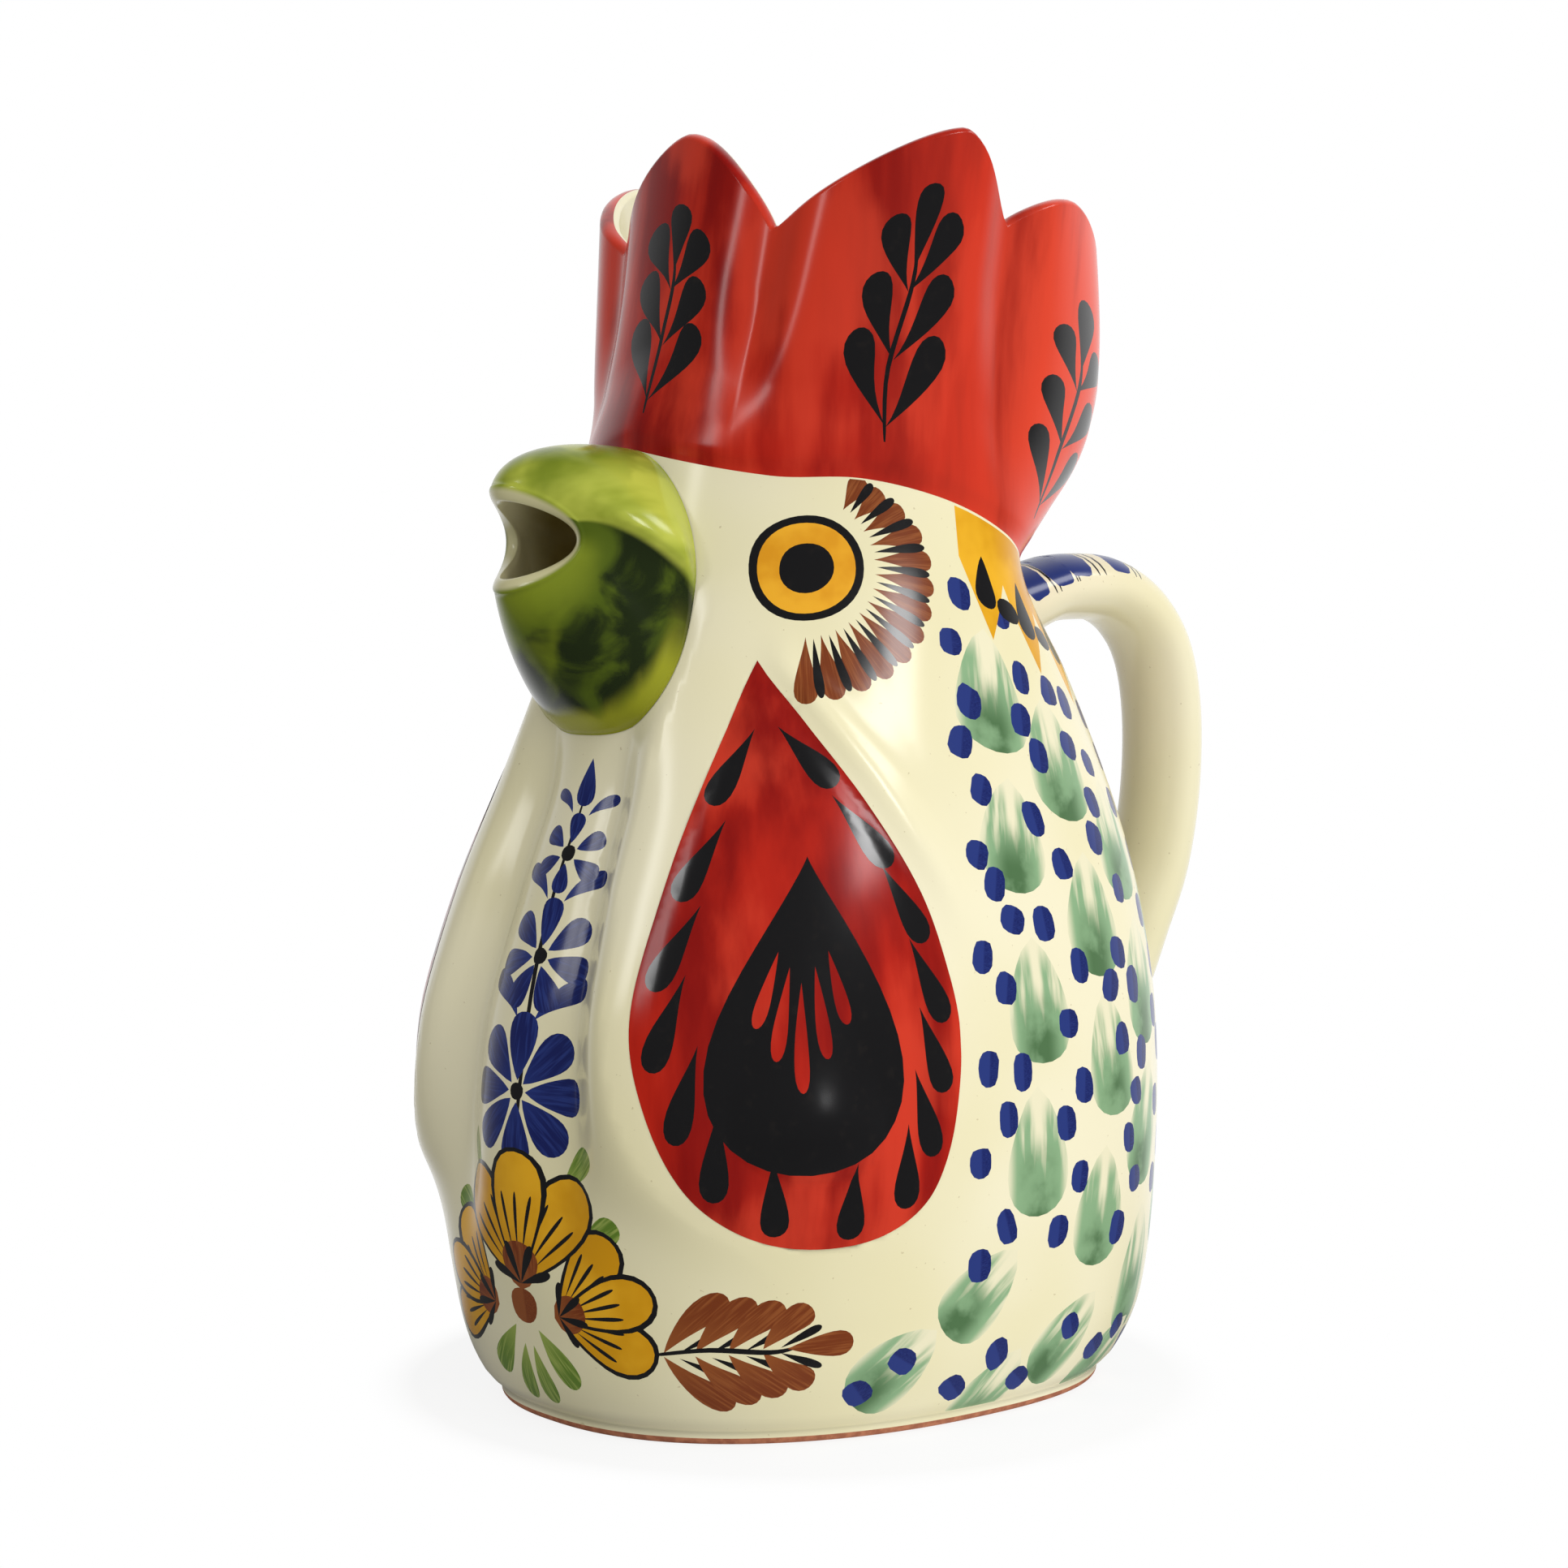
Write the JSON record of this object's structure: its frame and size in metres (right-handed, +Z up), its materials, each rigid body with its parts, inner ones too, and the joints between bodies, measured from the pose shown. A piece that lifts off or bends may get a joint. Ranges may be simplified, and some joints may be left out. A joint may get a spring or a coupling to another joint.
{
  "type": "rooster pitcher",
  "caption": "Glazed ceramic pitcher in the shape of a rooster, with an open lobed comb, a beak spout and a strap handle on its back.",
  "frame": {"origin": "centre of the foot's underside", "axes": "+Z is up, -Y is the way the beak points, +Y is the handle's side, and x = 0 is the plane of symmetry"},
  "size_m": [0.1522, 0.2227, 0.293],
  "materials": {
    "cream_glaze": "gloss",
    "bare_clay": "matte",
    "red_glaze": "gloss",
    "green_glaze": "gloss"
  },
  "bodies": {
    "root": {"body_shell": "cream_glaze", "foot": "bare_clay", "comb_crown": "red_glaze", "beak_spout": "green_glaze", "wattle_left": "red_glaze", "wattle_right": "red_glaze", "handle": "cream_glaze"}
  },
  "joints": []
}
